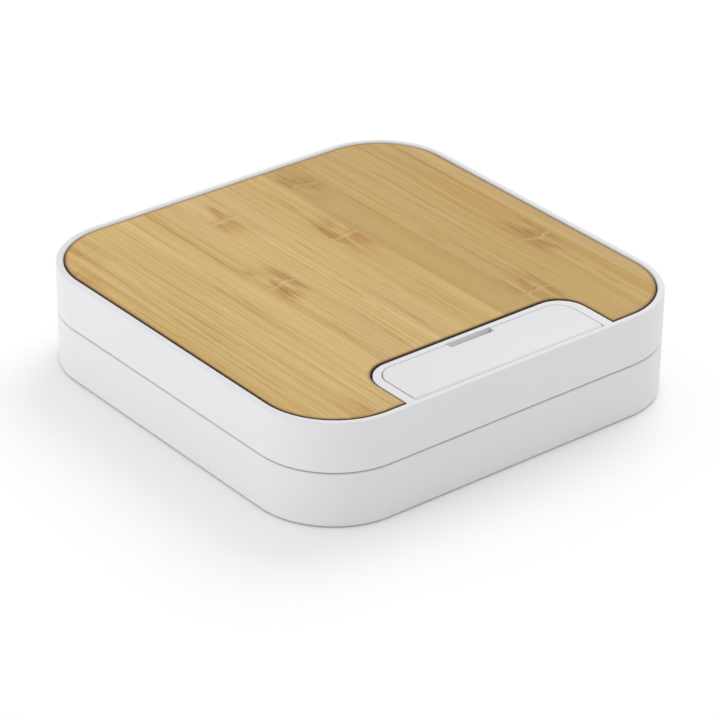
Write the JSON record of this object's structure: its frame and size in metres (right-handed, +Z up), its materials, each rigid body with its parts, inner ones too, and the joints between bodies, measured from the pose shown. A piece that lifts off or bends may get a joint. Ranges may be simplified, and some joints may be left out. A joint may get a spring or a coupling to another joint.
{
  "type": "wireless charging pad",
  "caption": "Square wireless charging pad in two hinged white halves with a notched bamboo top and a fold-out ledge that holds a phone when the halves stand as a tent.",
  "frame": {"origin": "centre of the footprint, on the table under the rubber feet", "axes": "+Z up through the charging face, -Y to the front edge with the ledge, +X to the side with the charging socket"},
  "size_m": [0.1, 0.1, 0.0236],
  "materials": {
    "white_plastic": "fine satin",
    "cover_plastic": "matte",
    "bamboo": "smooth oiled",
    "adhesive": "matte",
    "felt": "felt",
    "steel": "brushed",
    "zinc_plated": "plated",
    "magnet": "nickel plated",
    "silicone": "matte",
    "copper": "enamelled wire",
    "ferrite": "matte ceramic",
    "holder_plastic": "matte",
    "board": "solder mask",
    "chip_black": "moulded",
    "capacitor": "ceramic",
    "bearing_plastic": "smooth",
    "clear_plastic": "frosted"
  },
  "bodies": {
    "base": {"base_shell": "white_plastic", "tray_liner": "felt", "ballast_plate": "steel", "bottom_cover": "cover_plastic", "base_screws": "zinc_plated", "rubber_feet": "silicone", "base_magnets": "magnet", "bumpers": "silicone", "hinge_pins": "steel"},
    "lid": {"lid_shell": "white_plastic", "adhesive_sheet": "adhesive", "bamboo_top": "bamboo", "lid_cover": "cover_plastic", "lid_screws": "zinc_plated", "lid_magnets": "magnet", "friction_sleeves": "bearing_plastic", "charging_coil": "copper", "ferrite_disc": "ferrite", "coil_holder": "holder_plastic", "circuit_board": "board", "control_chip": "chip_black", "power_inductor": "ferrite", "capacitors": "capacitor", "thermal_pad": "silicone", "small_screws": "zinc_plated", "charging_socket": "steel", "status_led": "clear_plastic", "light_pipe": "clear_plastic"},
    "ledge": {"ledge": "white_plastic", "ledge_pad": "silicone", "spring_bar": "steel"}
  },
  "joints": [
    {"name": "main_hinge", "type": "hinge", "parent": "base", "child": "lid", "pos_m": [0, 0.0468, 0.0123], "axis": [-1, 0, 0], "range_deg": [0, 60]},
    {"name": "ledge_hinge", "type": "hinge", "parent": "lid", "child": "ledge", "pos_m": [0, -0.04705, 0.0219], "axis": [1, 0, 0], "range_deg": [0, 95]}
  ]
}
